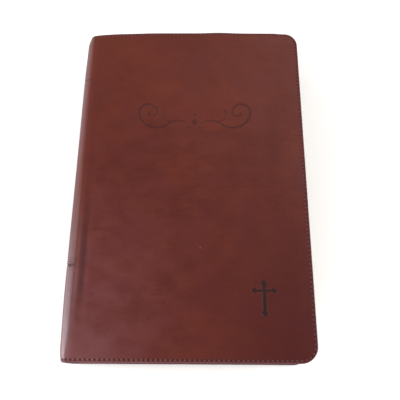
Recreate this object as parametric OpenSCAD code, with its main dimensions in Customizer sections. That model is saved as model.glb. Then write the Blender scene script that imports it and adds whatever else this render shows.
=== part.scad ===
// Gift-size bible in a soft imitation-leather case cover, lying closed on its back cover.
// X runs from the spine to the fore edge, Y from the tail to the head, Z is up.
// The origin is the middle of the book's footprint, on the underside of the back cover.

/* [Overall size] */
// Width from the spine to the fore edge of the cover
book_w = 140; // [130:1:155]
// Height of the cover from tail to head
book_l = 213; // [195:1:235]
// Thickness of the closed book
book_t = 27; // [25:0.5:34]

/* [Cover] */
// Thickness of the imitation leather
leather_t = 1.0; // [0.9:0.1:1.2]
// Thickness of the thin board inside each cover
board_t = 0.6; // [0.4:0.1:0.8]
// Thickness of the lining paper pasted inside each cover
lining_t = 0.4; // [0.3:0.1:0.5]
// Radius of the cover's two fore-edge corners
corner_r = 9.5; // [8:0.5:12]
// How far the cover stands past the pages on three sides
overhang = 4; // [3:0.5:5]
// Outer radius of the rounded leather joints beside the spine
joint_r = 4.4; // [4:0.1:5]
// Thickness of the stiffener behind the spine leather
liner_t = 0.8; // [0.6:0.1:1]
// Width of the leather turned over the board at the edges
turn_in = 1.2; // [1:0.1:1.5]

/* [Pressed decoration] */
// Depth of the pressed lines and ornaments
press_depth = 0.4; // [0.2:0.1:0.5]
// Distance of the pressed hinge groove from the spine joint
groove_offset = 5; // [4.5:0.5:6]
// Depth of the pressed hinge groove
groove_depth = 0.45; // [0.3:0.05:0.5]
// Height of the plain cross near the fore edge
cross_h = 20; // [14:1:26]
// Span of the cross's arms
cross_span = 14.3; // [10:0.1:17]
// Width of the cross's upright
cross_bar = 2.2; // [1.8:0.1:3]
// Width of the cross's arms
cross_arm_w = 1.4; // [1.2:0.1:2]
// Scale of the scroll ornament near the head
scroll_scale = 1.12; // [0.9:0.02:1.3]

/* [Stitching] */
// Distance of the thread from the cover's edge
stitch_inset = 1.5; // [1.3:0.1:2.2]
// Width of the thread
thread_w = 0.5; // [0.4:0.1:0.6]

/* [Pages] */
// Radius of the pages' fore-edge corners
page_corner_r = 6.5; // [5:0.5:8]
// Thickness of each free endpaper
endpaper_t = 0.25; // [0.2:0.05:0.3]
// Thickness of the cloth lining on the back of the pages
mull_t = 0.3; // [0.2:0.1:0.4]
// Space between the leather joint's axis and the cloth lining
block_gap = 1; // [0.9:0.1:1.5]
// Radius of the woven bands at the head and tail of the page block
band_r = 0.8; // [0.6:0.1:1]

/* [Hidden] */
$fn = 64;
x_spine = -book_w / 2;
x_fore = book_w / 2;
half_l = book_l / 2;
cover_t = leather_t + board_t + lining_t;
crease_x = x_spine + joint_r;
mid_z = book_t / 2;
mull_x = crease_x + block_gap;
page_x = mull_x + mull_t;
page_half_l = half_l - overhang;
page_fore_x = x_fore - overhang;
block_bottom = cover_t + endpaper_t;
group_count = 4;
layer_gap = 0.04;
group_pitch = (mid_z - block_bottom) / group_count;
board_x = crease_x + 8;
board_inset = 1.2;
lining_x = crease_x + 1.5;
pocket_gap = 0.05;
groove_r = 6;
thread_t = 0.2;
thread_play = 0.1;
cross_x = x_fore - 28;
cross_y = -half_l + 24.8;
cross_arm_y = cross_y + 0.71 * cross_h;
scroll_x = 2;
scroll_y = half_l - 68;
spine_band_y = [half_l - 36.5, -half_l + 53.4, -half_l + 55.4, -half_l + 56.6, -half_l + 57.8];
spine_band_w = [1.4, 1.6, 0.6, 0.6, 0.6];

// Flat outline from x0 to x1, with its two fore-edge corners rounded.
module leaf_outline(x0, x1, reach, r) {
    translate([x0, -reach])
        square([x1 - x0 - r, 2 * reach]);
    translate([x0, -reach + r])
        square([x1 - x0, 2 * (reach - r)]);
    for (s = [-1, 1])
        translate([x1 - r, s * (reach - r)])
            circle(r);
}

// Cover outline drawn in by an inset on its three free sides.
module cover_outline(x0, inset) {
    leaf_outline(x0, x_fore - inset, half_l - inset, corner_r - inset);
}

// Narrow band that follows the cover's three free sides.
module edge_band(x0, middle, width) {
    difference() {
        cover_outline(x0, middle - width / 2);
        cover_outline(x0 - 1, middle + width / 2);
    }
}

// Outline shared by every page and endpaper.
module page_outline(x0) {
    leaf_outline(x0, page_fore_x, page_half_l, page_corner_r);
}

// Slab of a flat outline between two heights.
module slab(z0, z1) {
    translate([0, 0, z0])
        linear_extrude(z1 - z0)
            children();
}

// Turns a back-cover shape over to make the front-cover one.
module on_front() {
    translate([0, 0, book_t])
        mirror([0, 0, 1])
            children();
}

// Cover leather with its outer face down: turned-in rim, board pocket and pressed lines.
module cover_leather_shell() {
    difference() {
        slab(0, cover_t)
            cover_outline(crease_x, 0);
        slab(leather_t, leather_t + board_t + pocket_gap)
            cover_outline(board_x - pocket_gap, board_inset);
        slab(leather_t + board_t, cover_t + 1)
            leaf_outline(
                lining_x - pocket_gap, page_fore_x + pocket_gap,
                page_half_l + pocket_gap, page_corner_r + pocket_gap
            );
        slab(-1, thread_t)
            edge_band(crease_x - 1, stitch_inset, thread_w + 2 * thread_play);
        translate([crease_x + groove_offset, -half_l - 1, groove_depth - groove_r])
            rotate([-90, 0, 0])
                cylinder(r = groove_r, h = book_l + 2);
    }
}

module cover_board_shape() {
    slab(leather_t, leather_t + board_t)
        cover_outline(board_x, board_inset + pocket_gap);
}

module pastedown_shape() {
    slab(leather_t + board_t + pocket_gap, cover_t)
        page_outline(lining_x);
}

module cover_thread() {
    slab(0, thread_t)
        edge_band(crease_x + 0.3, stitch_inset, thread_w);
}

// Plain cross with rounded bar ends.
module cross_outline() {
    translate([-cross_bar / 2, 0])
        square([cross_bar, cross_h]);
    translate([-cross_span / 2 + cross_arm_w / 2, cross_arm_y - cross_y - cross_arm_w / 2])
        square([cross_span - cross_arm_w, cross_arm_w]);
    for (y = [0.7 * cross_bar, cross_h - 0.7 * cross_bar])
        translate([0, y])
            circle(0.75 * cross_bar);
    for (s = [-1, 1])
        translate([s * (cross_span / 2 - 1.1 * cross_arm_w), cross_arm_y - cross_y])
            circle(1.1 * cross_arm_w);
}

// One stroke of the scroll: part of a ring about a centre.
module stroke(cx, cy, r, from, sweep, w) {
    translate([cx, cy, 0])
        rotate([0, 0, from])
            rotate_extrude(angle = sweep)
                translate([r - w / 2, 0])
                    square([w, 3]);
}

// Right half of the generic scroll ornament: a hump, a long curve and a curl.
module scroll_half() {
    stroke(9, -8, 9, 49, 82, 1.1);
    stroke(21.2, 6.55, 10, 229, 132, 1.5);
    stroke(26.2, 6.55, 5, -1, 182, 1.3);
    stroke(23.7, 6.55, 2.5, 179, 150, 1.1);
    stroke(13.5, 4.6, 4, 200, 190, 0.9);
}

// The whole scroll with a small lozenge at its centre.
module scroll() {
    scale([scroll_scale, scroll_scale, scroll_scale]) {
        scroll_half();
        mirror([1, 0, 0])
            scroll_half();
        rotate([0, 0, 45])
            translate([-1.5, -1.5, 0])
                cube([3, 3, 3]);
    }
}

// Part of a leather joint: a quarter ring about the Y axis, between two radii.
module quarter_ring(r0, r1, y0, y1) {
    rotate([-90, 0, 0])
        rotate([0, 0, 90])
            rotate_extrude(angle = 90)
                translate([r0, y0])
                    square([r1 - r0, y1 - y0]);
}

// Rounded leather joint at the back cover, with the spine's pressed bands.
module joint_leather_shape() {
    translate([crease_x, 0, joint_r])
        difference() {
            quarter_ring(joint_r - leather_t, joint_r, -half_l, half_l);
            for (i = [0:len(spine_band_y) - 1])
                quarter_ring(
                    joint_r - 0.3, joint_r + 1,
                    spine_band_y[i] - spine_band_w[i] / 2, spine_band_y[i] + spine_band_w[i] / 2
                );
        }
}

// One group of folded page sheets, counted up from the back cover.
module page_group(i) {
    slab(block_bottom + i * group_pitch, block_bottom + (i + 1) * group_pitch - layer_gap)
        page_outline(page_x);
}

// Woven band lying on one end of the page block's back.
module end_band() {
    slab(cover_t + 0.3, book_t - cover_t - 0.3) {
        translate([mull_x, page_half_l])
            square([2 * band_r, band_r]);
        translate([mull_x + band_r, page_half_l + band_r])
            circle(band_r);
    }
}

module back_cover_leather() {
    color([0.40, 0.20, 0.18])
        cover_leather_shell();
}

module back_cover_board() {
    color([0.62, 0.54, 0.42])
        cover_board_shape();
}

module back_pastedown() {
    color([0.86, 0.80, 0.68])
        pastedown_shape();
}

module back_stitching() {
    color([0.62, 0.47, 0.43])
        cover_thread();
}

module rear_joint_leather() {
    color([0.36, 0.18, 0.16])
        joint_leather_shape();
}

module rear_free_endpaper() {
    color([0.88, 0.83, 0.72])
        slab(cover_t, block_bottom - layer_gap)
            page_outline(mull_x);
}

module rear_signatures_1() {
    color([0.95, 0.93, 0.86])
        page_group(0);
}

module rear_signatures_2() {
    color([0.94, 0.92, 0.85])
        page_group(1);
}

module rear_signatures_3() {
    color([0.95, 0.93, 0.86])
        page_group(2);
}

module rear_signatures_4() {
    color([0.94, 0.92, 0.85])
        page_group(3);
}

module spine_mull() {
    color([0.80, 0.78, 0.72])
        slab(block_bottom + 0.3, book_t - block_bottom - 0.3)
            translate([mull_x, -page_half_l + 3])
                square([mull_t, 2 * (page_half_l - 3)]);
}

module head_band() {
    color([0.75, 0.70, 0.55])
        end_band();
}

module tail_band() {
    color([0.75, 0.70, 0.55])
        mirror([0, 1, 0])
            end_band();
}

module spine_leather() {
    color([0.43, 0.23, 0.21])
        difference() {
            translate([x_spine, -half_l, joint_r])
                cube([leather_t + liner_t, book_l, book_t - 2 * joint_r]);
            translate([x_spine + leather_t, -half_l + turn_in, joint_r - 1])
                cube([liner_t + 1, book_l - 2 * turn_in, book_t - 2 * joint_r + 2]);
            for (i = [0:len(spine_band_y) - 1])
                translate([x_spine - 1, spine_band_y[i] - spine_band_w[i] / 2, joint_r - 1])
                    cube([1.3, spine_band_w[i], book_t - 2 * joint_r + 2]);
            for (s = [-1, 1])
                translate([x_spine - 1, s * (half_l - stitch_inset) - thread_w / 2 - thread_play, joint_r - 1])
                    cube([1 + thread_t, thread_w + 2 * thread_play, book_t - 2 * joint_r + 2]);
        }
}

module spine_liner() {
    color([0.60, 0.52, 0.40])
        translate([x_spine + leather_t, -half_l + turn_in + pocket_gap, joint_r + 0.2])
            cube([liner_t, book_l - 2 * (turn_in + pocket_gap), book_t - 2 * joint_r - 0.4]);
}

module spine_stitching() {
    color([0.62, 0.47, 0.43])
        for (s = [-1, 1])
            translate([x_spine, s * (half_l - stitch_inset) - thread_w / 2, joint_r + 0.3])
                cube([thread_t, thread_w, book_t - 2 * joint_r - 0.6]);
}

module front_joint_leather() {
    color([0.36, 0.18, 0.16])
        on_front()
            joint_leather_shape();
}

module front_free_endpaper() {
    color([0.88, 0.83, 0.72])
        on_front()
            slab(cover_t + layer_gap, block_bottom - layer_gap)
                page_outline(mull_x);
}

module front_signatures_1() {
    color([0.95, 0.93, 0.86])
        on_front()
            page_group(0);
}

module front_signatures_2() {
    color([0.94, 0.92, 0.85])
        on_front()
            page_group(1);
}

module front_signatures_3() {
    color([0.95, 0.93, 0.86])
        on_front()
            page_group(2);
}

module front_signatures_4() {
    color([0.94, 0.92, 0.85])
        on_front()
            page_group(3);
}

module front_cover_leather() {
    color([0.40, 0.20, 0.18])
        difference() {
            on_front()
                cover_leather_shell();
            translate([cross_x, cross_y, book_t - press_depth])
                linear_extrude(press_depth + 1)
                    cross_outline();
            translate([scroll_x, scroll_y, book_t - press_depth])
                scroll();
        }
}

module front_cover_board() {
    color([0.62, 0.54, 0.42])
        on_front()
            cover_board_shape();
}

module front_pastedown() {
    color([0.86, 0.80, 0.68])
        on_front()
            pastedown_shape();
}

module front_stitching() {
    color([0.62, 0.47, 0.43])
        on_front()
            cover_thread();
}

back_cover_leather();
back_cover_board();
back_pastedown();
back_stitching();
rear_joint_leather();
rear_free_endpaper();
rear_signatures_1();
rear_signatures_2();
rear_signatures_3();
rear_signatures_4();
spine_mull();
head_band();
tail_band();
spine_leather();
spine_liner();
spine_stitching();
front_joint_leather();
front_free_endpaper();
front_signatures_1();
front_signatures_2();
front_signatures_3();
front_signatures_4();
front_cover_leather();
front_cover_board();
front_pastedown();
front_stitching();
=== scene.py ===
import math

import bmesh
import bpy
import numpy as np
from mathutils import Matrix, Vector


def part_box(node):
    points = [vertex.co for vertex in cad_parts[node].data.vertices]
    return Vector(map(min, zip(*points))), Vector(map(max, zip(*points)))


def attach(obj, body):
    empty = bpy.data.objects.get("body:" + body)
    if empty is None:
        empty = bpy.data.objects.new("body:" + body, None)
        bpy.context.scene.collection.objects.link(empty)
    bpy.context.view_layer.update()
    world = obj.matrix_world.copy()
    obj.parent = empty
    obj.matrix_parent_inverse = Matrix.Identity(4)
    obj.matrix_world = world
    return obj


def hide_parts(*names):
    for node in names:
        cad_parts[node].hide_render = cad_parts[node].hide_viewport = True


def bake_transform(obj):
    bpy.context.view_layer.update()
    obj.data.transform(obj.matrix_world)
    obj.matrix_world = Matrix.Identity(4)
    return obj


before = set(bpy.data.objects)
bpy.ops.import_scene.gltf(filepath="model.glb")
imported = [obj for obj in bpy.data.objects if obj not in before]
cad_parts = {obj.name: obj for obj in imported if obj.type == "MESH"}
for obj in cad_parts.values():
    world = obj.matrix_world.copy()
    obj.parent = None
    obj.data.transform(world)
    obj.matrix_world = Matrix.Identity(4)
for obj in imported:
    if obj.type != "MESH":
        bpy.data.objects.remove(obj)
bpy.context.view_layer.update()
MM = 0.001

# ---------------------------------------------------------------- sizes, in millimetres, from the CAD nodes


def extent(node):
    lo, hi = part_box(node)
    return np.array(lo) / MM, np.array(hi) / MM


cover_lo, cover_hi = extent("front_cover_leather")
page_lo, page_hi = extent("rear_signatures_1")
CREASE, FORE, HALF, TOP = cover_lo[0], cover_hi[0], cover_hi[1], cover_hi[2]
COVER_T = TOP - cover_lo[2]
SPINE_X = extent("spine_leather")[0][0]
JOINT_R = CREASE - SPINE_X
PAGE_X, PAGE_FORE, PAGE_HALF = page_lo[0], page_hi[0], page_hi[1]
MULL_X = extent("spine_mull")[0][0]
MID_Z = TOP / 2

# the rounded corners of the covers and of the pages
CORNER_R, PAGE_CORNER_R = 9.5, 6.5
# the leather, and the radius on which it rolls over an edge
LEATHER_T, ROLL_R = 1.0, 1.0
# how far the spine swells at its joints, and how much more at mid height
BULGE, SWELL = 0.6, 0.35
# how far from the spine's ends its corners are soft
SOFT_CORNER = 7.5
# the thread line's distance from the edge, its stitch pitch, and the part of a pitch that shows thread
THREAD_IN, THREAD_PITCH, THREAD_SHARE = 1.5, 2.6, (0.25, 0.75)
SPINE_STITCHES, JOINT_STITCHES = 7, 3
# the cover's skin starts this far past the crease, so that it never meets the spine's skin
SEAM = 0.03
# the back cover's face lies this far above its nominal plane, so that its relief stays over the table
BACK_LIFT = 0.27
PRESS_DEPTH = 0.36
# grid steps where an ornament is pressed, and elsewhere
FINE, COARSE = 0.34, 1.7
SHARP_ANGLE = math.radians(50)
# a small pale nick in the front cover's leather
NICK_X, NICK_Y = 6.2, -42.9
# the cross's foot, half width and height, and the scroll's middle, scale and half width
CROSS_X, CROSS_Y, CROSS_REACH, CROSS_TALL = FORE - 28.0, -HALF + 24.8, 8.4, 20.0
SCROLL_X, SCROLL_Y, SCROLL_SCALE, SCROLL_REACH = 2.0, HALF - 68.0, 1.12, 36.5

# ---------------------------------------------------------------- small maths


def hump(x, centre, width):
    return np.exp(-(((x - centre) / width) ** 2))


def ease(x, a, b):
    t = np.clip((x - a) / (b - a), 0, 1)
    return t * t * (3 - 2 * t)


def waves(seed, size):
    """A smooth, seeded field of about -1 to 1, with features of the given size."""
    rng = np.random.default_rng(seed)
    angle = rng.uniform(0, 2 * np.pi, 9)
    k = 2 * np.pi / size * rng.uniform(0.6, 1.5, 9)
    phase = rng.uniform(0, 2 * np.pi, 9)

    def at(x, y):
        total = 0
        for a, kk, p in zip(angle, k, phase):
            total = total + np.sin(kk * (x * np.cos(a) + y * np.sin(a)) + p)
        return total / 4.0

    return at


def steps(*spans):
    """Grid lines from spans of (from, to, largest step)."""
    parts = [np.linspace(a, b, max(2, int(np.ceil((b - a) / s)) + 1)) for a, b, s in spans]
    return np.unique(np.round(np.concatenate(parts), 4))


# ---------------------------------------------------------------- mesh building


def relax(verts):
    """Bends a straight, square cover as a soft one lies: uneven at the head, soft at the spine's corners."""
    x, y, z = verts.T
    left = np.clip((CREASE - x) / (CREASE - SPINE_X + BULGE), 0, 1)
    wave = -2.0 * np.exp(-np.maximum(x - CREASE, 0) / 14) - left**1.5
    wave = wave + 0.4 * ease(x, CREASE + 20, CREASE + 45)
    wave = wave + 0.5 * hump(x, 18, 10) - 0.5 * hump(x, FORE - 9.7, 3.8)
    at_head = np.clip(1 - (HALF - y) / SOFT_CORNER, 0, 1) ** 2
    at_tail = np.clip(1 - (HALF + y) / SOFT_CORNER, 0, 1) ** 2
    head = 1.7 * at_head + 0.32 * ease(y, HALF - 32, HALF - 8)
    tail = 1.2 * at_tail + 0.7 * (1 - ease(y, -HALF, -HALF + 40))
    return np.stack([x + left * (head + tail), y + wave * ease(y, HALF - 45, HALF), z], -1)


def build(name, verts, faces, materials, face_material=None, soft=False, **attributes):
    """A mesh object from points in millimetres, with its rest position and any point values as attributes."""
    mesh = bpy.data.meshes.new(name)
    verts = np.asarray(verts, float)
    placed = relax(verts) if soft else verts
    mesh.from_pydata((placed * MM).tolist(), [], [list(map(int, f)) for f in faces])
    rest = mesh.attributes.new("rest", "FLOAT_VECTOR", "POINT")
    rest.data.foreach_set("vector", verts.astype(np.float32).ravel())
    for key, values in attributes.items():
        a = mesh.attributes.new(key, "FLOAT", "POINT")
        a.data.foreach_set("value", np.asarray(values, np.float32).ravel())
    for m in materials:
        mesh.materials.append(m)
    if face_material is not None:
        mesh.polygons.foreach_set("material_index", np.asarray(face_material, np.int32))
    mesh.polygons.foreach_set("use_smooth", [True] * len(mesh.polygons))
    mesh.update()
    bm = bmesh.new()
    bm.from_mesh(mesh)
    bmesh.ops.remove_doubles(bm, verts=bm.verts, dist=2e-7)
    bmesh.ops.recalc_face_normals(bm, faces=bm.faces)
    for edge in bm.edges:
        edge.smooth = edge.calc_face_angle(0) < SHARP_ANGLE
    bm.to_mesh(mesh)
    bm.free()
    obj = bpy.data.objects.new(name, mesh)
    bpy.context.scene.collection.objects.link(obj)
    return obj


def grid_faces(nu, nv, first=0):
    i = np.arange(nu - 1)[:, None] * nv + np.arange(nv - 1)[None, :] + first
    return np.stack([i, i + nv, i + nv + 1, i + 1], -1).reshape(-1, 4)


def grid_rim(nu, nv, first=0):
    """The outer loop of a grid's points, once round."""
    i = lambda u, v: first + u * nv + v
    loop = [i(u, 0) for u in range(nu)]
    loop += [i(nu - 1, v) for v in range(1, nv)]
    loop += [i(u, nv - 1) for u in range(nu - 2, -1, -1)]
    loop += [i(0, v) for v in range(nv - 2, 0, -1)]
    return np.array(loop)


def band_faces(a, b):
    """Quads between two closed loops of the same length."""
    return np.stack([a, np.roll(a, -1), np.roll(b, -1), b], -1)


def closed_sheet(outer, inner):
    """Points and faces of a sheet with thickness, from two grids of the same shape."""
    nu, nv = outer.shape[:2]
    n = nu * nv
    verts = np.concatenate([outer.reshape(-1, 3), inner.reshape(-1, 3)])
    faces = np.concatenate([
        grid_faces(nu, nv), grid_faces(nu, nv, n)[:, ::-1],
        band_faces(grid_rim(nu, nv), grid_rim(nu, nv, n)),
    ])
    return verts, faces


# ---------------------------------------------------------------- the cover's edge and thread line

SIDE = FORE - CORNER_R - CREASE
BEND = math.pi / 2 * (CORNER_R - THREAD_IN)
LONG = 2 * (HALF - CORNER_R)
RUN = 2 * SIDE + 2 * BEND + LONG
STITCHES = round(RUN / THREAD_PITCH)
STEP = RUN / STITCHES


def edge_map(x, y):
    """Distance in from the cover's free edge, and how far along the thread line, in stitches."""
    ax, ay = x - (FORE - CORNER_R), np.abs(y) - (HALF - CORNER_R)
    corner = (ax > 0) & (ay > 0)
    d = np.where(corner, CORNER_R - np.hypot(ax, ay), np.minimum(FORE - x, HALF - np.abs(y)))
    turn = np.arctan2(np.maximum(ax, 0), np.maximum(ay, 1e-9))
    side = np.where(FORE - x < HALF - np.abs(y), SIDE + BEND - ay, x - CREASE)
    run = np.where(corner, SIDE + turn * (CORNER_R - THREAD_IN), side)
    return d, np.where(y < 0, run, RUN - run) / STEP


def thread_point(run, inset=THREAD_IN):
    """Point on the thread line at each distance along it."""
    r = np.where(run <= RUN / 2, run, RUN - run)
    sign = np.where(run <= RUN / 2, -1.0, 1.0)
    a = np.clip((r - SIDE) / (CORNER_R - THREAD_IN), 0, math.pi / 2)
    x = np.where(r < SIDE, CREASE + r, FORE - CORNER_R + (CORNER_R - inset) * np.sin(a))
    y = HALF - CORNER_R + (CORNER_R - inset) * np.cos(a)
    y = np.where(r > SIDE + BEND, HALF - CORNER_R - (r - SIDE - BEND), y)
    return x, sign * y


def fold(y):
    """How strongly the fold beside the spine shows: most in the lower half, faint at the head."""
    return 1 - 0.85 * ease(y, -45, 15)


def crease_sink(y):
    """How far the cover's face drops where it meets the joint."""
    return 0.22 + 0.20 * fold(y)


def crease_at(gap, y):
    """Depth of the fold line beside the spine."""
    return 0.12 * fold(y) * hump(gap, 0, 0.7)


def roll(d):
    """How far the surface drops as it rolls over the edge."""
    q = np.clip(ROLL_R - d, 0, ROLL_R)
    return ROLL_R - np.sqrt(np.maximum(ROLL_R**2 - q**2, 0))


# ---------------------------------------------------------------- pressed ornaments, as signed distances


def box_sd(x, y, hx, hy):
    qx, qy = np.abs(x) - hx, np.abs(y) - hy
    return np.hypot(np.maximum(qx, 0), np.maximum(qy, 0)) + np.minimum(np.maximum(qx, qy), 0)


def cross_sd(x, y):
    """A plain cross: a stem, two arms, and three round lobes at each end."""
    px, py = x - CROSS_X, y - CROSS_Y
    arm_y = 14.2
    sd = box_sd(px, py - CROSS_TALL / 2, 1.12, 9.0)
    sd = np.minimum(sd, box_sd(px, py - arm_y, 6.0, 0.68))
    for cx, cy, r in (
        (0, 19.0, 1.15), (-1.15, 17.9, 0.8), (1.15, 17.9, 0.8),
        (0, 1.0, 1.25), (-1.2, 1.9, 0.75), (1.2, 1.9, 0.75),
        (-6.15, arm_y, 1.0), (-5.1, arm_y + 1.0, 0.75), (-5.1, arm_y - 1.0, 0.75),
        (6.15, arm_y, 1.0), (5.1, arm_y + 1.0, 0.75), (5.1, arm_y - 1.0, 0.75),
    ):
        sd = np.minimum(sd, np.hypot(px - cx, py - cy) - r)
    return sd


# strokes of the scroll's right half: centre, radius, start and sweep in degrees, widths at the two ends
STROKES = (
    (9.0, -8.0, 9.0, 131, -82, 0.5, 1.25),
    (21.2, 6.55, 10.0, 229, 132, 1.25, 1.5),
    (26.2, 6.55, 5.0, 0, 180, 1.5, 1.1),
    (23.7, 6.55, 2.5, 180, 150, 1.1, 0.9),
    (13.5, 4.6, 4.0, 270, 130, 0.5, 0.95),
    (13.5, 4.6, 4.0, 270, -80, 0.5, 0.3),
)


def scroll_sd(x, y):
    """A scroll with a small diamond in its middle, the same on both sides."""
    px, py = np.abs(x - SCROLL_X) / SCROLL_SCALE, (y - SCROLL_Y) / SCROLL_SCALE
    sd = (px + np.abs(py)) / math.sqrt(2) - 1.5
    for cx, cy, r, start, sweep, w0, w1 in STROKES:
        dx, dy = px - cx, py - cy
        s = math.copysign(1, sweep)
        turn = (s * (np.degrees(np.arctan2(dy, dx)) - start)) % 360
        t = turn / abs(sweep)
        on = np.abs(np.hypot(dx, dy) - r) - (w0 + (w1 - w0) * np.clip(t, 0, 1)) / 2
        ends = []
        for share, w in ((0, w0), (1, w1)):
            a = math.radians(start + sweep * share)
            ends.append(np.hypot(px - cx - r * math.cos(a), py - cy - r * math.sin(a)) - w / 2)
        sd = np.minimum(sd, np.where(t <= 1, on, np.minimum(ends[0], ends[1])))
    for cx, cy, r in ((25.8, 5.3, 0.95), (3.0, 3.0, 0.6), (0, 4.6, 0.75), (3.0, -3.4, 0.6)):
        sd = np.minimum(sd, np.hypot(px - cx, py - cy) - r)
    return sd * SCROLL_SCALE


# ---------------------------------------------------------------- cover leather

swell = waves(3, 60.0)
ripple = waves(8, 17.0)
# an edge distance for points that are nowhere near an edge
FAR_IN = 30.0


def cover_relief(x, y, front):
    """Height of the cover's outer face over its nominal plane, with how pressed and how shaded it is."""
    d, run = edge_map(x, y)
    g = x - CREASE
    # the rolled edge, a bead, the thread's groove and the padding
    z = -roll(d) + 0.08 * hump(d, 0.75, 0.35) - 0.22 * hump(d, THREAD_IN, 0.42) + 0.14 * ease(d, 2.2, 9)
    # the fold, ridge and pressed groove beside the spine, which fade towards the head
    ridge = fold(y) * (1 - 0.8 * ease(-y, 62, 92))
    rise = ridge * ease(g, 0.1, 3.4) + (1 - ridge) * (1 - np.clip(1 - g / 6.5, 0, 1) ** 2)
    z = z - crease_at(g, y) - crease_sink(y) * (1 - rise)
    z = z + ridge * (0.10 * hump(g, 2.9, 1.2) - 0.26 * hump(g, 6.4, 1.8))
    calm = ease(d, 1, 9) * ease(g, 1, 9)
    z = z + calm * (0.12 * swell(x, y) + 0.035 * ripple(x, y))
    press = np.zeros_like(z)
    if front:
        cross, scroll = cross_sd(x, y), scroll_sd(x, y)
        sd = np.minimum(cross, scroll)
        press = (1 - ease(sd, -0.3, 0.25)) * np.where(cross < scroll, 1.0, 0.55)
        z = z - PRESS_DEPTH * press + 0.03 * hump(sd, 0.42, 0.25)
    shade = 0.30 * fold(y) * hump(g, 0.1, 0.5) + 0.75 * ridge**3 * hump(g, 4.9, 1.5)
    return z, press, np.clip(shade, 0, 1), d, run


def corner_lines(r=CORNER_R, degrees=3.0):
    """Distances from an edge that are close together at the edge and follow a round corner."""
    a = np.radians(np.arange(0, 90 + degrees / 2, degrees))
    return r * (1 - np.cos(a))


# how the leather turns in under the cover: in from the free edges, in from the crease, and down
TURN_IN = (
    (0.0, 0.0, 1.25), (0.08, 0.0, 1.6), (0.3, 0.0, 1.86), (0.75, 0.05, COVER_T),
    (3.7, 1.2, COVER_T), (4.05, 1.5, COVER_T - 0.1), (4.15, 1.6, COVER_T - 0.34),
)


def cover_leather(name, front, material):
    """The outer leather of a cover, from the pressed face round the edge to the turned-in rim."""
    near = corner_lines()
    detail = FINE if front else COARSE
    scroll_x0, cross_x1 = SCROLL_X - SCROLL_REACH - CREASE, CROSS_X + CROSS_REACH - CREASE
    across = steps(
        (0, 1.0, 0.13), (1.0, 9.5, 0.45), (9.5, scroll_x0, COARSE),
        (scroll_x0, cross_x1, detail), (cross_x1, FORE - CORNER_R - CREASE, 1.3),
    )
    across = np.unique(np.concatenate([across, (FORE - CREASE) - near]))
    cross_y0, cross_y1 = CROSS_Y - 0.8, CROSS_Y + CROSS_TALL + 0.8
    scroll_y0, scroll_y1 = SCROLL_Y - 6.2, SCROLL_Y + 14.2
    up = steps(
        (-HALF + CORNER_R, cross_y0, 1.5), (cross_y0, cross_y1, detail), (cross_y1, scroll_y0, COARSE),
        (scroll_y0, scroll_y1, detail), (scroll_y1, HALF - CORNER_R, COARSE),
    )
    up = np.unique(np.concatenate([-HALF + near, up, HALF - near]))
    past = np.abs(up) - (HALF - CORNER_R)
    reach = np.where(past > 0, FORE - CORNER_R + np.sqrt(np.maximum(CORNER_R**2 - past**2, 0)), FORE)
    x = CREASE + np.maximum(across[:, None] * ((reach - CREASE) / (FORE - CREASE))[None, :], SEAM)
    y = np.broadcast_to(up[None, :], x.shape)
    z, press, shade, d, run = cover_relief(x, y, front)
    top = np.stack([x, y, TOP + z], -1)
    nu, nv = x.shape
    rim = grid_rim(nu, nv)
    verts = [top.reshape(-1, 3)]
    faces = [grid_faces(nu, nv)]
    count = nu * nv
    edge = top.reshape(-1, 3)[rim]
    ax, ay = edge[:, 0] - (FORE - CORNER_R), np.abs(edge[:, 1]) - (HALF - CORNER_R)
    rounded = (ax > 0) & (ay > 0)
    length = np.maximum(np.hypot(ax, ay), 1e-9)
    previous = rim
    for inset, left, depth in TURN_IN:
        px = np.clip(edge[:, 0], CREASE + SEAM + left, FORE - inset)
        py = np.clip(edge[:, 1], -HALF + inset, HALF - inset)
        cx = FORE - CORNER_R + (CORNER_R - inset) * ax / length
        cy = np.sign(edge[:, 1]) * (HALF - CORNER_R + (CORNER_R - inset) * ay / length)
        px, py = np.where(rounded, cx, px), np.where(rounded, cy, py)
        verts.append(np.stack([px, py, np.full_like(px, TOP - depth)], -1))
        loop = count + np.arange(len(rim))
        count += len(rim)
        faces.append(band_faces(previous, loop))
        previous = loop
    verts = np.concatenate(verts)
    faces = [f for block in faces for f in block.tolist()] + [previous.tolist()]
    extra = len(verts) - nu * nv
    pad = lambda a, v: np.concatenate([a.ravel(), np.full(extra, v)])
    inner_d = np.full(extra, FAR_IN)
    inner_d[: 3 * len(rim)] = 0.2
    if not front:
        verts[:, 2] = np.maximum(TOP - verts[:, 2] + BACK_LIFT * (verts[:, 2] > TOP - 1.0), 0)
    return build(
        name, verts, faces, [material], soft=True,
        press=pad(press, 0), shade=pad(shade, 0),
        edge=np.concatenate([d.ravel(), inner_d]), run=pad(run, 0.5),
    )


# ---------------------------------------------------------------- spine and joint leather

# pressed bands across the spine: where along it, half width and strength
SPINE_BANDS = (
    (70.0, 0.7, 0.8), (-53.1, 0.8, 1.0), (-51.1, 0.35, 0.45), (-49.9, 0.35, 0.45), (-48.7, 0.35, 0.45),
)
end_lines = corner_lines(ROLL_R * 4, 6.0)


def bands(y):
    """How strongly each place along the spine is pressed, from 0 to 1."""
    total = np.zeros_like(y)
    for centre, width, strength in SPINE_BANDS:
        total = total + strength * np.exp(-(((y - centre) / width) ** 4))
    return total


def spine_rows():
    """Grid lines along the spine, close together at its ends and its bands."""
    fine = [(c - 2 * w - 0.5, c + 2 * w + 0.5, 0.16) for c, w, _ in SPINE_BANDS]
    rows = steps((-HALF + 4, HALF - 4, 1.7), *fine)
    return np.unique(np.concatenate([-HALF + end_lines, rows, HALF - end_lines]))


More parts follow.
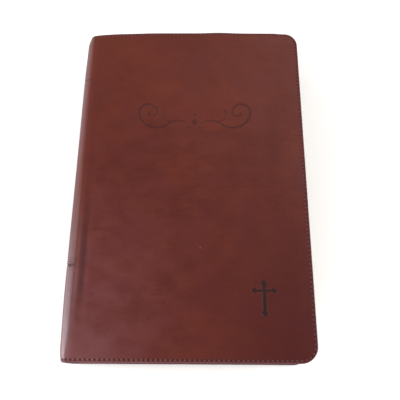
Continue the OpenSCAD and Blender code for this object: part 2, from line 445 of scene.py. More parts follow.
def spine_drop(y):
    """How far the spine's outer leather lies under its nominal face, from its ends and its pressed bands."""
    d = HALF - np.abs(y)
    return roll(d) - 0.10 * hump(d, 0.75, 0.35) + 0.22 * hump(d, THREAD_IN, 0.42) + 0.22 * bands(y)


def joint_profile(t, y):
    """The joint's outline, from the spine (t = 0) to the crease (t = 1), rounder at the head than below."""
    wide = JOINT_R + BULGE
    top = JOINT_R - crease_sink(y)
    full = np.maximum(ease(y, -30, 24), 0.7 * ease(-y, HALF - 16, HALF))
    a, b = (wide, 0.0), (wide, top - 0.65 - 0.75 * full)
    c, d = (0.55 * wide, top - 1.1 + 0.95 * full), (0.0, top)
    s = 1 - t
    return [s**3 * a[k] + 3 * s**2 * t * b[k] + 3 * s * t**2 * c[k] + t**3 * d[k] for k in (0, 1)]


def joint_leather(name, front, material, thread):
    """The bent leather between the spine and a cover, with the stitches across its two ends."""
    rows = spine_rows()
    share = np.concatenate([np.linspace(0, 0.9, 22), np.linspace(0.92, 1, 7)])
    t, y = np.meshgrid(share, rows, indexing="ij")
    out, up = joint_profile(t, y)
    length = np.hypot(out, up)
    gap = out
    sink = spine_drop(y) + crease_at(gap, y) + 0.12 * np.sin(math.pi * t) ** 2
    radius = 1 - sink / length
    a = np.arctan2(up, out)
    inner = np.full_like(a, JOINT_R - LEATHER_T) - 0.12 * np.sin(2 * a)
    inner = np.minimum(inner / length, radius - 0.05)

    def place(r):
        return np.stack([CREASE - r * out, y, TOP - JOINT_R + r * up], -1)

    verts, faces = closed_sheet(place(radius), place(inner))
    n = a.size
    d = HALF - np.abs(y)
    shade = np.clip(0.30 * fold(y) * hump(gap, -0.1, 0.5) + bands(y), 0, 1)
    run = t * JOINT_STITCHES
    pad = lambda v, value: np.concatenate([v.ravel(), np.full(n, value)])
    values = {
        "press": np.zeros(2 * n), "shade": pad(shade, 0.35),
        "edge": pad(d, FAR_IN), "run": pad(run, 0.5), "twist": np.zeros(2 * n),
    }
    arcs = (np.arange(JOINT_STITCHES)[:, None] + np.array(THREAD_SHARE)) / JOINT_STITCHES
    ends, ups = [], []
    for side in (-1, 1):
        for t0, t1 in arcs:
            pts = []
            for share in (t0, t1):
                px, pz = joint_profile(share, side * (HALF - THREAD_IN))
                r = 1 - (0.22 + crease_at(px, side * HALF)) / math.hypot(px, pz)
                pts.append([CREASE - r * px, side * (HALF - THREAD_IN), TOP - JOINT_R + r * pz])
            ends.append(pts)
            (x0, _, z0), (x1, _, z1) = pts
            ups.append([-(z1 - z0), 0, x1 - x0] / np.hypot(x1 - x0, z1 - z0))
    tv, tf, twist = stitch_points(np.array(ends), np.array(ups), arch=0.30)
    slots = [0] * len(faces) + [1] * len(tf)
    faces = faces.tolist() + clean(tf + len(verts))
    verts = np.concatenate([verts, tv])
    for key in values:
        values[key] = np.concatenate([values[key], twist if key == "twist" else np.zeros(len(tv))])
    if not front:
        verts[:, 2] = TOP - verts[:, 2]
    obj = build(name, verts, faces, [material, thread], slots, soft=True, **values)
    if front:
        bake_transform(obj)
    else:
        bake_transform(obj)
    return obj


def spine_share(z):
    """How far up the spine's flat part a height is, from 0 to 1."""
    return (z - JOINT_R) / (TOP - 2 * JOINT_R)


def spine_bulge(z):
    return BULGE + SWELL * np.sin(math.pi * np.clip(spine_share(z), 0, 1)) ** 2


def spine_leather(material):
    """The outer leather of the hollow spine, slightly swollen and pressed with its bands."""
    rows = spine_rows()
    heights = np.linspace(JOINT_R, TOP - JOINT_R, 25)
    z, y = np.meshgrid(heights, rows, indexing="ij")
    d = HALF - np.abs(y)
    uneven = 0.05 * swell(z * 3, y) * np.sin(math.pi * spine_share(z))
    x = SPINE_X - spine_bulge(z) + spine_drop(y) + uneven
    inner = np.maximum(SPINE_X + LEATHER_T - 0.1, x + 0.3)
    verts, faces = closed_sheet(np.stack([x, y, z], -1), np.stack([inner, y, z], -1))
    n = z.size
    run = spine_share(z) * SPINE_STITCHES
    pad = lambda v, value: np.concatenate([v.ravel(), np.full(n, value)])
    return build(
        "spine_cover", verts, faces, [material], soft=True, press=np.zeros(2 * n),
        shade=pad(np.clip(bands(y), 0, 1), 0.35), edge=pad(d, FAR_IN), run=pad(run, 0.5),
    )


# ---------------------------------------------------------------- thread


def stitch_points(ends, up, width=0.56, arch=0.24, sink=0.14):
    """Short twisted tubes between pairs of points, arched along up."""
    n, rings, around = len(ends), 8, 7
    t = np.linspace(0, 1, rings)
    line = ends[:, 1] - ends[:, 0]
    length = np.linalg.norm(line, axis=1, keepdims=True)
    along = line / length
    side = np.cross(along, up)
    side /= np.linalg.norm(side, axis=1, keepdims=True)
    lift = arch * np.sin(math.pi * t) ** 0.7 - sink
    centre = ends[:, 0][:, None] + line[:, None] * t[None, :, None] + up[:, None] * lift[None, :, None]
    size = width / 2 * (0.42 + 0.58 * np.sin(math.pi * np.clip(t, 0.02, 0.98)) ** 0.55)
    a = np.linspace(0, 2 * math.pi, around, endpoint=False)
    ring = side[:, None, None] * np.cos(a)[None, None, :, None]
    ring = ring + 0.72 * up[:, None, None] * np.sin(a)[None, None, :, None]
    pts = centre[:, :, None] + ring * size[None, :, None, None]
    base = np.arange(n)[:, None, None] * rings * around
    i = np.arange(rings - 1)[None, :, None] * around
    j = np.arange(around)[None, None, :]
    k = (j + 1) % around
    low, high = base + i, base + i + around
    quads = np.stack([low + j, low + k, high + k, high + j], -1).reshape(-1, 4)
    caps = []
    for r in (0, rings - 1):
        c = np.arange(n)[:, None] * rings * around + r * around
        # seven points make two quads and a triangle, whose last corner is repeated
        caps += [c + np.array(corners) for corners in ((0, 1, 2, 3), (0, 3, 4, 5), (0, 5, 6, 6))]
    faces = np.concatenate([quads, *caps[0:2], *caps[3:5], caps[2], caps[5]])
    twist = t[None, :, None] * length[:, :, None] * 2.2 + a[None, None, :] / (2 * math.pi)
    twist = twist * np.ones((n, 1, 1))
    return pts.reshape(-1, 3), faces, twist.reshape(-1)


def clean(faces):
    """Faces as lists, with repeated corners dropped."""
    return [list(dict.fromkeys(f)) for f in faces.tolist()]


def cover_thread(name, front, thread):
    """The stitches round a cover, with a slight unevenness in their places."""
    i = np.arange(STITCHES)
    rng = np.random.default_rng(21 if front else 22)
    jitter = rng.normal(0, 0.05, (STITCHES, 2))
    ends = []
    for share in THREAD_SHARE:
        x, y = thread_point((i + share) * STEP + jitter[:, 0])
        z = cover_relief(x, y, False)[0]
        ends.append(np.stack([x, y, TOP + z], -1))
    ends = np.stack(ends, 1)
    up = np.tile(np.array([0, 0, 1.0]), (STITCHES, 1))
    verts, faces, twist = stitch_points(ends, up)
    if not front:
        verts[:, 2] = np.maximum(TOP - verts[:, 2] + BACK_LIFT, 0.01)
    return build(name, verts, clean(faces), [thread], soft=True, twist=twist)


def spine_liner(material):
    lo, hi = extent("spine_liner")
    heights = np.linspace(lo[2], hi[2], 9)
    ys = np.linspace(lo[1] + 0.4, hi[1] - 0.4, 60)
    z, y = np.meshgrid(heights, ys, indexing="ij")
    verts, faces = closed_sheet(
        np.stack([np.full_like(z, lo[0] + 0.02), y, z], -1), np.stack([np.full_like(z, hi[0]), y, z], -1)
    )
    return build("spine_stiffener", verts, faces, [material], soft=True)


def spine_thread(thread):
    ends, ups = [], []
    for side in (-1, 1):
        for k in range(SPINE_STITCHES):
            pts = []
            for share in THREAD_SHARE:
                z = JOINT_R + (k + share) / SPINE_STITCHES * (TOP - 2 * JOINT_R)
                pts.append([SPINE_X - spine_bulge(z) + 0.22, side * (HALF - THREAD_IN), z])
            ends.append(pts)
            ups.append([-1, 0, 0])
    verts, faces, twist = stitch_points(np.array(ends, float), np.array(ups, float), arch=0.28)
    return build("spine_thread", verts, clean(faces), [thread], soft=True, twist=twist)


# ---------------------------------------------------------------- pages

# the pitch of the thread wound round the head and tail bands
RIB = 0.7


def page_loop(x0, x1, half, r, spacing=2.6):
    """The outline of a leaf, anticlockwise, with its fore-edge corners rounded."""
    corner = np.radians(np.linspace(0, 90, 10))
    low = np.linspace(x0, x1 - r, int((x1 - r - x0) / spacing))
    side = np.linspace(-half + r, half - r, int(2 * (half - r) / spacing))
    pts = [np.stack([low, np.full_like(low, -half)], -1)]
    pts.append(np.stack([x1 - r + r * np.sin(corner), -half + r - r * np.cos(corner)], -1)[1:])
    pts.append(np.stack([np.full_like(side, x1), side], -1)[1:])
    pts.append(np.stack([x1 - r + r * np.cos(corner), half - r + r * np.sin(corner)], -1)[1:])
    pts.append(np.stack([low[::-1], np.full_like(low, half)], -1)[1:])
    back = np.linspace(half, -half, len(side))[1:-1]
    pts.append(np.stack([np.full_like(back, x0), back], -1))
    return np.concatenate(pts)


# the top page's edge at the gutter, where it curves down into the spine: x from PAGE_X, and height
GUTTER_CURVE = ((1.6, -0.01), (0.6, -0.015), (-0.1, -0.06), (-0.6, -0.2), (-0.95, -0.48), (-1.12, -0.9))


def page_group(half_name, k, edge_material, print_material):
    """A quarter of one half's pages, with uneven leaf edges, and on the middle one the open page's gutter."""
    node = f"{half_name}_signatures_{k}"
    lo, hi = extent(node)
    rng = np.random.default_rng(40 + k + (10 if half_name == "front" else 0))
    layers = 17
    z = np.linspace(lo[2], hi[2], layers)
    inset = np.abs(rng.normal(0.05, 0.05, layers))
    inset[[0, -1]] += 0.10
    loop = page_loop(PAGE_X, PAGE_FORE, PAGE_HALF, PAGE_CORNER_R)
    count = len(loop)
    angle = np.arange(count) / count * 2 * math.pi
    outward = loop - np.array([PAGE_X + 60, 0])
    direction = outward / np.hypot(*outward.T)[:, None]
    verts = []
    for i in range(layers):
        amount = inset[i] + 0.03 * np.sin(3 * angle + i * 1.7) + 0.02 * np.sin(11 * angle + i * 2.9)
        moved = loop - direction * np.clip(amount, 0, 0.35)[:, None]
        moved[:, 0] = np.maximum(moved[:, 0], PAGE_X)
        verts.append(np.column_stack([moved, np.full(count, z[i])]))
    loops = [i * count + np.arange(count) for i in range(layers)]
    faces = [f for a, b in zip(loops, loops[1:]) for f in band_faces(a, b).tolist()]
    sides = len(faces)
    faces += [loops[0].tolist(), loops[-1].tolist()]
    slots = [0] * sides + [1, 1]
    verts = np.concatenate(verts)
    if k == 4:
        rear = half_name == "rear"
        face_z, s = (hi[2], 1) if rear else (lo[2], -1)
        ys = np.linspace(-PAGE_HALF + 0.25, PAGE_HALF - 0.25, 40)
        same = np.ones(len(ys))
        places = [(PAGE_X + px, face_z + s * pz) for px, pz in GUTTER_CURVE]
        outer = np.stack([np.stack([px * same, ys, pz * same], -1) for px, pz in places])
        inner = outer + np.array([0.02, 0, -0.14 * s])
        lv, lf = closed_sheet(outer, inner)
        faces += (lf + len(verts)).tolist()
        slots += [1] * len(lf)
        verts = np.concatenate([verts, lv])
    obj = build(f"{half_name}_pages_{k}", verts, faces, [edge_material, print_material], slots)
    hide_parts(node)
    follow_group(obj, half_name, k)


def follow_group(obj, half_name, k):
    """Attaches the first page group's piece to its half's body, and bakes the other groups' pieces where they
    stand.
    """
    base = "back_cover" if half_name == "rear" else "front_half"
    if k == 1:
        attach(obj, base)
        return
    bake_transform(obj)


def lining_strip(half_name, k, material):
    """The part of the cloth lining that lies on one page group's back."""
    lo, hi = extent(f"{half_name}_signatures_{k}")
    z0, z1 = lo[2], hi[2]
    if k == 1:
        z0, z1 = (z0 + 0.3, z1) if half_name == "rear" else (z0, z1 - 0.3)
    if k == 4:
        z0, z1 = (z0, z1 - 1.1) if half_name == "rear" else (z0 + 1.1, z1)
    heights = np.linspace(z0, z1, 7)
    ys = np.linspace(-PAGE_HALF + 3, PAGE_HALF - 3, 60)
    z, y = np.meshgrid(heights, ys, indexing="ij")
    x = MULL_X + 0.03 + 0.03 * ripple(y, z * 4)
    back = np.full_like(x, PAGE_X - 0.02)
    verts, faces = closed_sheet(np.stack([x, y, z], -1), np.stack([back, y, z], -1))
    obj = build(f"{half_name}_lining_{k}", verts, faces, [material])
    follow_group(obj, half_name, k)
    return obj


def end_band(half_name, k, side, material):
    """The part of the head or tail band that lies on one page group: a wound, ribbed cord."""
    lo, hi = extent(f"{half_name}_signatures_{k}")
    heights = np.linspace(lo[2], hi[2], 33)
    radius = 0.8
    around = np.radians(np.linspace(0, 360, 15)[:-1])
    rings = []
    for z in heights:
        r = radius * (0.9 + 0.12 * abs(math.sin(math.pi * z / RIB)))
        px = MULL_X + 0.85 + r * np.cos(around)
        py = PAGE_HALF + radius * 0.95 + r * np.sin(around)
        rings.append(np.stack([px, side * np.maximum(py, PAGE_HALF + 0.02), np.full_like(px, z)], -1))
    n = len(around)
    loops = [i * n + np.arange(n) for i in range(len(heights))]
    faces = [f for a, b in zip(loops, loops[1:]) for f in band_faces(a, b).tolist()]
    faces += [loops[0].tolist(), loops[-1].tolist()]
    word = "head" if side > 0 else "tail"
    obj = build(f"{half_name}_{word}_band_{k}", np.concatenate(rings), faces, [material])
    follow_group(obj, half_name, k)
    return obj


def hinge_fold(name, x, z0, z1, thick, half, material, **values):
    """A narrow flat strip at the front cover's hinge, standing for the fold there, baked where it stands."""
    heights = np.linspace(z0, z1, 15)
    ys = np.linspace(-half, half, 50)
    z, y = np.meshgrid(heights, ys, indexing="ij")
    near = np.full_like(z, x)
    verts, faces = closed_sheet(np.stack([near, y, z], -1), np.stack([near + thick, y, z], -1))
    extra = {key: np.full(len(verts), v) for key, v in values.items()}
    obj = build(name, verts, faces, [material], soft=True, **extra)
    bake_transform(obj)
    return obj


# ---------------------------------------------------------------- materials


def srgb(r, g, b):
    out = []
    for c in (r, g, b):
        c = c / 255
        out.append(c / 12.92 if c <= 0.04045 else ((c + 0.055) / 1.055) ** 2.4)
    return (*out, 1.0)


class Nodes:
    """A material's node tree, with short calls for the nodes used here."""

    def __init__(self, name):
        self.material = bpy.data.materials.new(name)
        self.material.use_nodes = True
        self.tree = self.material.node_tree
        self.shader = self.tree.nodes["Principled BSDF"]

    def put(self, socket, value):
        if isinstance(value, bpy.types.NodeSocket):
            self.tree.links.new(value, socket)
        else:
            socket.default_value = value

    def make(self, kind, out=0, inputs=(), **props):
        """Adds a node and gives its output number out, or all its outputs when out is None."""
        node = self.tree.nodes.new(kind)
        for key, value in props.items():
            setattr(node, key, value)
        for key, value in dict(inputs).items():
            self.put(node.inputs[key], value)
        return list(node.outputs) if out is None else node.outputs[out]

    def point(self, name="rest"):
        return self.make("ShaderNodeAttribute", 1, attribute_name=name)

    def value(self, name):
        return self.make("ShaderNodeAttribute", 2, attribute_name=name)

    def object_mm(self):
        return self.stretch(self.make("ShaderNodeTexCoord", 3), (1 / MM, 1 / MM, 1 / MM))

    def axes(self, vector):
        return self.make("ShaderNodeSeparateXYZ", None, {0: vector})

    def stretch(self, vector, factors):
        return self.make("ShaderNodeVectorMath", 0, {0: vector, 1: factors}, operation="MULTIPLY")

    def noise(self, vector, scale, detail=2.0, rough=0.5):
        inputs = {"Vector": vector, "Scale": scale, "Detail": detail, "Roughness": rough}
        return self.make("ShaderNodeTexNoise", 0, inputs)

    def cells(self, vector, scale, feature="F1"):
        return self.make("ShaderNodeTexVoronoi", 0, {"Vector": vector, "Scale": scale}, feature=feature)

    def math(self, op, a, b=0.0):
        return self.make("ShaderNodeMath", 0, {0: a, 1: b}, operation=op)

    def plus(self, a, b):
        return self.math("ADD", a, b)

    def minus(self, a, b):
        return self.math("SUBTRACT", a, b)

    def times(self, a, b):
        return self.math("MULTIPLY", a, b)

    def ramp(self, value, low, high, to_low=0.0, to_high=1.0, smooth=True):
        return self.make(
            "ShaderNodeMapRange", 0,
            {0: value, 1: low, 2: high, 3: to_low, 4: to_high},
            interpolation_type="SMOOTHSTEP" if smooth else "LINEAR",
        )

    def mix(self, factor, a, b):
        node = self.tree.nodes.new("ShaderNodeMix")
        node.data_type = "RGBA"
        self.put(node.inputs[0], factor)
        self.put(node.inputs[6], a)
        self.put(node.inputs[7], b)
        return node.outputs[2]

    def bump(self, height, distance, strength=1.0, normal=None):
        inputs = {"Height": height, "Distance": distance, "Strength": strength}
        if normal is not None:
            inputs["Normal"] = normal
        return self.make("ShaderNodeBump", 0, inputs)

    def finish(self, color, roughness, normal=None, specular=0.5):
        self.put(self.shader.inputs["Base Color"], color)
        self.put(self.shader.inputs["Roughness"], roughness)
        self.put(self.shader.inputs["Specular IOR Level"], specular)
        if normal is not None:
            self.put(self.shader.inputs["Normal"], normal)
        return self.material


def quiet_edge(n, x, y):
    """0 where the stitches stand out, at the tail near the spine, and 1 where they blend into the leather."""
    return n.math("MAXIMUM", n.ramp(y, -102.0, -75.0), n.ramp(x, 15.0, 58.0, 0.0, 0.8))


def mottled_brown(n, p):
    """The leather's ground: two browns mixed by clouds, blotches, flecks and fine strands."""
    cloud = n.noise(p, 0.028, 3.0, 0.55)
    blotch = n.noise(n.stretch(p, (0.7, 1.0, 1.0)), 0.12, 4.0, 0.6)
    fleck = n.noise(p, 0.9, 2.0, 0.6)
    strand = n.noise(n.stretch(p, (0.12, 0.8, 0.8)), 1.0, 3.0, 0.6)
    tone = n.plus(n.times(cloud, 1.1), n.times(blotch, 0.9))
    tone = n.plus(tone, n.times(fleck, 0.25))
    tone = n.plus(tone, n.times(n.minus(strand, 0.5), 0.5))
    color = n.mix(n.ramp(tone, 0.68, 1.56), srgb(72, 22, 14), srgb(89, 34, 21))
    warm = n.ramp(n.noise(p, 0.05, 2.0), 0.42, 0.62)
    return n.mix(n.times(warm, 0.45), color, srgb(78, 27, 26)), blotch


def broad_tone_and_painted_light(n, color, blotch, x, y):
    """Broad changes of tone over the leather, by place in millimetres: painted sheen, painted light and
    painted shade, and a warmer tone towards the head.
    """
    # painted sheen: paler and greyer towards the tail of the spine, where light from the left catches the
    # leather
    painted_sheen = n.times(n.ramp(x, -70.0, 15.0, 1.0, 0.0), n.ramp(y, -95.0, 20.0, 1.0, 0.0))
    painted_sheen = n.times(painted_sheen, n.ramp(blotch, 0.3, 0.7, 0.3, 0.75))
    color = n.mix(painted_sheen, color, srgb(97, 53, 55))
    # more painted sheen, paler and pinker, at the tail corner beside the spine
    corner = n.times(n.ramp(x, -68.0, -20.0, 1.0, 0.0), n.ramp(y, -108.0, -78.0, 1.0, 0.0))
    color = n.mix(n.times(corner, 0.6), color, srgb(108, 63, 65))
    # warmer towards the head
    color = n.mix(n.ramp(y, -10.0, 70.0, 0.0, 0.22), color, srgb(96, 40, 23))
    # darker towards the tail of the fore edge: painted shade where the light falls off, partly also a darker
    # tone of the leather
    falloff_shade_and_tone = n.times(n.ramp(x, -25.0, 62.0), n.ramp(y, -100.0, 40.0, 1.0, 0.0))
    color = n.mix(n.times(falloff_shade_and_tone, 0.78), color, srgb(63, 15, 13))
    # painted light: lighter and warmer along the crease, above the tail, where soft light from the left falls
    # on the joint
    side = n.times(n.ramp(x, CREASE - 5.0, CREASE - 2.0), n.ramp(x, CREASE - 1.0, CREASE + 3.0, 1.0, 0.0))
    side = n.times(side, n.ramp(y, -78.0, -20.0))
    return n.mix(n.times(side, 0.5), color, srgb(98, 41, 28))


def nick_mark(n, x, y, z):
    """1 on the small nick, a thin oval at 45 degrees, on the front cover only."""
    nick_x, nick_y = n.minus(x, NICK_X), n.minus(y, NICK_Y)
    along = n.times(n.minus(nick_x, nick_y), 0.55)
    across = n.times(n.plus(nick_x, nick_y), 2.6)
    far = n.plus(n.times(along, along), n.times(across, across))
    return n.times(n.ramp(far, 0.3, 1.0, 1.0, 0.0), n.ramp(z, MID_Z - 1, MID_Z + 1))


def stitch_marks(n, edge):
    """The needle holes between the stitches, and the faint line that they pull into the leather, as masks for
    painted shade.
    """
    turn = n.minus(n.math("FRACT", n.plus(n.value("run"), 0.5)), 0.5)
    u = n.times(turn, STEP)
    v = n.minus(edge, THREAD_IN)
    far = n.math("SQRT", n.plus(n.times(u, u), n.times(v, v)))
    return n.ramp(far, 0.42, 0.78, 1.0, 0.0), n.ramp(n.math("ABSOLUTE", v), 0.25, 0.75, 1.0, 0.0)


def leather_material(name, polish):
    """Brown imitation leather. It reads the point values press, shade, edge and run of its mesh."""
    n = Nodes(name)
    p = n.point()
    x, y, z = n.axes(p)
    color, blotch = mottled_brown(n, p)
    color = broad_tone_and_painted_light(n, color, blotch, x, y)
    color = n.mix(n.times(nick_mark(n, x, y, z), 0.4), color, srgb(140, 92, 78))
    shade, edge, press = n.value("shade"), n.value("edge"), n.value("press")
    color = n.mix(n.times(shade, 0.62), color, srgb(42, 15, 18))
    # painted sheen: a purplish veil along the rolled edge and the start of the turn-in
    color = n.mix(n.ramp(edge, 0.35, 1.5, 0.5, 0.0), color, srgb(84, 34, 42))
    hole, line = stitch_marks(n, edge)
    # painted shade along the groove of the thread line
    color = n.mix(n.times(line, 0.20), color, srgb(60, 20, 20))
    # painted shade in the needle holes, strongest at the tail near the spine
    hole_shade_strength = n.ramp(quiet_edge(n, x, y), 0.0, 1.0, 0.85, 0.15, smooth=False)
    color = n.mix(n.times(hole, hole_shade_strength), color, srgb(46, 6, 6))
    color = n.mix(n.times(press, 0.88), color, srgb(35, 9, 11))

    rough = n.plus(0.38 - 0.1 * polish, n.times(n.noise(p, 0.35, 3.0), 0.14))
    rough = n.plus(rough, n.times(shade, 0.30))
    rough = n.plus(rough, n.times(n.math("MAXIMUM", press, hole), 0.3))

    pores = n.ramp(n.cells(n.stretch(p, (1.0, 0.8, 1.0)), 1.15, "DISTANCE_TO_EDGE"), 0.0, 0.16)
    grain = n.plus(n.times(pores, 0.55), n.times(n.noise(p, 3.2, 3.0, 0.6), 0.6))
    streak = n.noise(n.stretch(p, (0.35, 0.05, 0.35)), 1.0, 3.0)
    normal = n.bump(grain, 0.00004, 0.55)
    normal = n.bump(streak, 0.0003, 0.30, normal)
    normal = n.bump(n.times(hole, -1.0), 0.0004, 0.8, normal)
    return n.finish(color, rough, normal, 0.23 + 0.62 * polish)


def thread_material():
    """Two-ply thread, with a painted highlight on the plies' crowns, painted shade between them and a painted
    sheen that makes it paler at the spine side. It reads the point value twist of its mesh.
    """
    n = Nodes("stitch_thread")
    p = n.point()
    x, y = n.axes(p)[:2]
    ply = n.ramp(n.math("SINE", n.times(n.value("twist"), 2 * math.pi)), -0.7, 0.7)
    # painted sheen: paler towards the spine, where light from the left falls
    pale = n.ramp(x, -65.0, 20.0, 1.0, 0.0)
    # painted shade in the grooves between the plies, painted highlight on their crowns
    groove = n.mix(pale, srgb(76, 36, 29), srgb(104, 52, 43))
    crown = n.mix(pale, srgb(116, 63, 50), srgb(164, 96, 83))
    color = n.mix(ply, groove, crown)
    color = n.mix(n.ramp(n.noise(p, 0.4, 2.0), 0.35, 0.65, 0.0, 0.2), color, srgb(112, 60, 52))
    # weaker painted highlight and shade where the stitches blend into the leather
    color = n.mix(n.times(quiet_edge(n, x, y), 0.55), color, srgb(92, 46, 40))
    height = n.plus(ply, n.times(n.noise(p, 9.0, 2.0), 0.5))
    return n.finish(color, 0.62, n.bump(height, 0.00006, 0.9), 0.35)


def page_edge_material():
    n = Nodes("page_edges")
    p = n.point()
    fine = n.noise(n.stretch(p, (0.012, 0.012, 7.0)), 1.0, 4.0, 0.7)
    broad = n.noise(n.stretch(p, (0.006, 0.006, 1.6)), 1.0, 2.0)
    mark = n.noise(p, 0.12, 3.0)
    tone = n.ramp(n.plus(n.times(fine, 0.75), n.times(broad, 0.4)), 0.38, 0.78)
    color = n.mix(tone, srgb(166, 152, 126), srgb(216, 208, 188))
    color = n.mix(n.ramp(mark, 0.45, 0.75, 0.0, 0.28), color, srgb(194, 178, 147))
    return n.finish(color, 0.78, n.bump(fine, 0.0001, 0.8), 0.25)


def page_face_material():
    """Thin page paper with two columns of grey bars that only suggest lines of print."""
    n = Nodes("page_faces")
    p = n.point()
    x, y = n.axes(p)[:2]
    pitch = 2.7
    row = n.math("FLOOR", n.math("DIVIDE", y, pitch))
    within = n.math("FRACT", n.math("DIVIDE", y, pitch))
    tall = n.times(n.ramp(within, 0.22, 0.34), n.ramp(within, 0.60, 0.72, 1.0, 0.0))
    place = n.make("ShaderNodeCombineXYZ", 0, {0: x, 1: n.times(row, 17.3)})
    word = n.ramp(n.noise(place, 0.42, 1.0), 0.40, 0.45)
    stroke = n.ramp(n.noise(n.stretch(place, (3.4, 1.0, 1.0)), 1.0, 1.0), 0.34, 0.52)
    middle = (PAGE_X + PAGE_FORE) / 2 + 1.5
    off = n.math("ABSOLUTE", n.minus(x, middle))
    column = n.times(n.ramp(off, 2.4, 2.7), n.ramp(off, 52.0, 52.4, 1.0, 0.0))
    block = n.ramp(n.math("ABSOLUTE", y), PAGE_HALF - 14.2, PAGE_HALF - 13.8, 1.0, 0.0)
    ink = n.times(n.times(tall, word), n.times(column, block))
    ink = n.times(ink, n.plus(0.45, n.times(stroke, 0.4)))
    fibre = n.noise(p, 0.5, 4.0, 0.6)
    color = n.mix(n.ramp(fibre, 0.3, 0.7), srgb(200, 194, 176), srgb(213, 208, 191))
    # painted shade where the page dips into the gutter beside the spine
    gutter = n.ramp(x, PAGE_X - 1.0, PAGE_X + 9.0, 0.35, 0.0)
    color = n.mix(gutter, color, srgb(176, 162, 134))
    color = n.mix(ink, color, srgb(62, 58, 58))
    return n.finish(color, 0.7, n.bump(fibre, 0.00005, 0.5), 0.25)


def endpaper_material():
    n = Nodes("endpaper")
    p = n.object_mm()
    fibre = n.noise(p, 0.9, 4.0, 0.65)
    laid = n.math("SINE", n.times(n.axes(p)[0], 6.0))
    color = n.mix(n.ramp(fibre, 0.3, 0.7), srgb(190, 178, 152), srgb(204, 194, 171))
    color = n.mix(n.ramp(n.noise(p, 0.03, 2.0), 0.4, 0.7, 0.0, 0.35), color, srgb(183, 168, 139))
    height = n.plus(fibre, n.times(laid, 0.12))
    return n.finish(color, 0.72, n.bump(height, 0.00006, 0.6), 0.25)


def fold_material():
    n = Nodes("endpaper_fold")
    p = n.point()
    fibre = n.noise(p, 0.9, 4.0, 0.65)
    color = n.mix(n.ramp(fibre, 0.3, 0.7), srgb(188, 176, 150), srgb(201, 191, 169))
    return n.finish(color, 0.72, n.bump(fibre, 0.00006, 0.6), 0.25)


def board_material(name="raw_board", moving=False):
    n = Nodes(name)
    p = n.point() if moving else n.object_mm()
    pulp = n.noise(p, 1.6, 5.0, 0.7)
    color = n.mix(n.ramp(pulp, 0.3, 0.7), srgb(150, 136, 112), srgb(184, 170, 144))
    return n.finish(color, 0.85, n.bump(pulp, 0.0001, 0.8), 0.2)


def cloth_material():
    n = Nodes("lining_cloth")
    p = n.point()
    y, z = n.axes(p)[1:]
    warp = n.math("ABSOLUTE", n.math("SINE", n.times(y, 3.4)))
    weft = n.math("ABSOLUTE", n.math("SINE", n.times(z, 3.4)))
    weave = n.math("MAXIMUM", warp, weft)
    color = n.mix(n.ramp(weave, 0.5, 0.95), srgb(150, 140, 118), srgb(214, 207, 190))
    color = n.mix(n.ramp(n.noise(p, 0.2, 3.0), 0.4, 0.7, 0.0, 0.4), color, srgb(190, 176, 146))
    return n.finish(color, 0.88, n.bump(weave, 0.00015, 0.9), 0.2)


def band_material():
    n = Nodes("woven_band")
    p = n.point()
    stripe = n.math("SINE", n.times(n.axes(p)[2], math.pi / RIB))
    color = n.mix(n.ramp(stripe, -0.15, 0.15), srgb(112, 52, 44), srgb(222, 208, 176))
    thread = n.noise(n.stretch(p, (2.0, 2.0, 9.0)), 1.0, 2.0)
    return n.finish(color, 0.6, n.bump(thread, 0.00008, 0.8), 0.3)


def floor_material():
    n = Nodes("pale_floor")
    p = n.object_mm()
    tone = n.ramp(n.noise(p, 0.004, 2.0), 0.3, 0.7)
    color = n.mix(tone, (0.94, 0.94, 0.94, 1), (0.97, 0.97, 0.97, 1))
    return n.finish(color, 0.9, None, 0.1)


# ---------------------------------------------------------------- put together

leather = leather_material("brown_leather", 0.0)
spine_skin = leather_material("spine_brown_leather", 0.5)
thread = thread_material()
edges = page_edge_material()
faces_of_pages = page_face_material()
paper = endpaper_material()
fold_paper = fold_material()
board = board_material()
liner_board = board_material("liner_board", True)
lining = cloth_material()
band_cloth = band_material()

for node in ("back_pastedown", "front_pastedown", "rear_free_endpaper", "front_free_endpaper"):
    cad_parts[node].data.materials.clear()
    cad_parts[node].data.materials.append(paper)
for node in ("back_cover_board", "front_cover_board"):
    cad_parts[node].data.materials.clear()
    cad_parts[node].data.materials.append(board)

for word, body in (("front", "front_cover"), ("back", "back_cover")):
    is_front = word == "front"
    skin = cover_leather(f"{word}_cover_skin", is_front, leather)
    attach(skin, body)
    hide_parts(f"{word}_cover_leather")
    stitches = cover_thread(f"{word}_thread", is_front, thread)
    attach(stitches, body)
    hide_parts(f"{word}_stitching")

for word, is_front in (("front", True), ("rear", False)):
    joint = joint_leather(f"{word}_joint_skin", is_front, spine_skin, thread)
    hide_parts(f"{word}_joint_leather")

skin = spine_leather(spine_skin)
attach(skin, "spine")
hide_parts("spine_leather")
stitches = spine_thread(thread)
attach(stitches, "spine")
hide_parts("spine_stitching")

stiffener = spine_liner(liner_board)
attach(stiffener, "spine")
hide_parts("spine_liner")

for half_name in ("rear", "front"):
    for k in (1, 2, 3, 4):
        page_group(half_name, k, edges, faces_of_pages)
        strip = lining_strip(half_name, k, lining)
        if (half_name, k) == ("rear", 1):
            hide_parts("spine_mull")
        for side in (-1, 1):
            band = end_band(half_name, k, side, band_cloth)
            if (half_name, k) == ("rear", 1):
                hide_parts("head_band" if side > 0 else "tail_band")


face = TOP - COVER_T
paper_fold = hinge_fold("endpaper_fold", MULL_X + 0.4, face - 0.1, face + 0.1, 0.12, PAGE_HALF, fold_paper)
leather_fold = hinge_fold(
    "crease_fold", CREASE + 0.02, TOP - 0.95, TOP - 0.75, 0.1, HALF - 1.2, leather,
    press=0, shade=0.6, edge=FAR_IN, run=0.5,
)

# ---------------------------------------------------------------- floor, light and camera

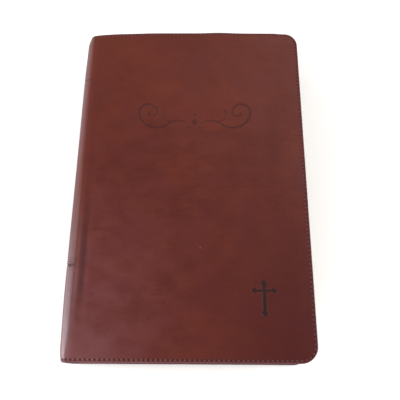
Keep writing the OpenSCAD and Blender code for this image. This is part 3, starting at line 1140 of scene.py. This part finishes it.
REACH = 4.0
mesh = bpy.data.meshes.new("floor")
floor_corners = [(-REACH, -REACH, 0), (REACH, -REACH, 0), (REACH, REACH, 0), (-REACH, REACH, 0)]
mesh.from_pydata(floor_corners, [], [(0, 1, 2, 3)])
mesh.materials.append(floor_material())
floor = bpy.data.objects.new("floor", mesh)
bpy.context.scene.collection.objects.link(floor)


def soft_light(name, at, size, power, color):
    """A round area light that faces the book."""
    data = bpy.data.lights.new(name, "AREA")
    data.shape = "DISK"
    data.size = size
    data.energy = power
    data.color = color
    lamp = bpy.data.objects.new(name, data)
    lamp.location = at
    lamp.rotation_euler = (-Vector(at)).to_track_quat("-Z", "Y").to_euler()
    bpy.context.scene.collection.objects.link(lamp)


soft_light("window", (-1.00, -0.12, 0.46), 0.6, 13.0, (0.92, 0.95, 1.0))
soft_light("far_window", (-0.95, 0.80, 0.40), 0.8, 3.0, (0.92, 0.95, 1.0))
soft_light("overhead", (0.55, 0.80, 0.80), 1.0, 4.2, (1.0, 0.98, 0.95))
soft_light("side", (1.10, 0.20, 0.56), 0.9, 9.3, (1.0, 0.98, 0.96))
soft_light("front", (-0.15, -1.10, 0.56), 0.9, 8.5, (1.0, 0.98, 0.97))
world = bpy.data.worlds.new("studio")
world.use_nodes = True
world.node_tree.nodes["Background"].inputs[0].default_value = (0.98, 0.98, 1.0, 1)
world.node_tree.nodes["Background"].inputs[1].default_value = 0.45
bpy.context.scene.world = world
bpy.context.scene.view_settings.view_transform = "Standard"

AZIMUTH, ELEVATION, TILT = math.radians(0.4477), math.radians(71.378), math.radians(-0.1137)
SENSOR_MM, LENS_MM, SHIFT_Y, DISTANCE = 36.0, 42.8256, 0.0429, 0.2792
TARGET = Vector((0.0058, -0.0245, TOP * MM))
flat = math.cos(ELEVATION)
back = Vector((math.sin(AZIMUTH) * flat, -math.cos(AZIMUTH) * flat, math.sin(ELEVATION)))
right = Vector((0, 0, 1)).cross(back).normalized()
up = back.cross(right)
axis_x = right * math.cos(TILT) + up * math.sin(TILT)
axis_y = up * math.cos(TILT) - right * math.sin(TILT)
camera_data = bpy.data.cameras.new("camera")
camera_data.sensor_width = SENSOR_MM
camera_data.lens = LENS_MM
camera_data.shift_y = SHIFT_Y
camera_data.clip_start = 0.01
camera = bpy.data.objects.new("camera", camera_data)
turn = Matrix((axis_x, axis_y, back)).transposed()
camera.matrix_world = Matrix.Translation(TARGET + back * DISTANCE) @ turn.to_4x4()
bpy.context.scene.collection.objects.link(camera)
bpy.context.scene.camera = camera

bpy.context.view_layer.update()
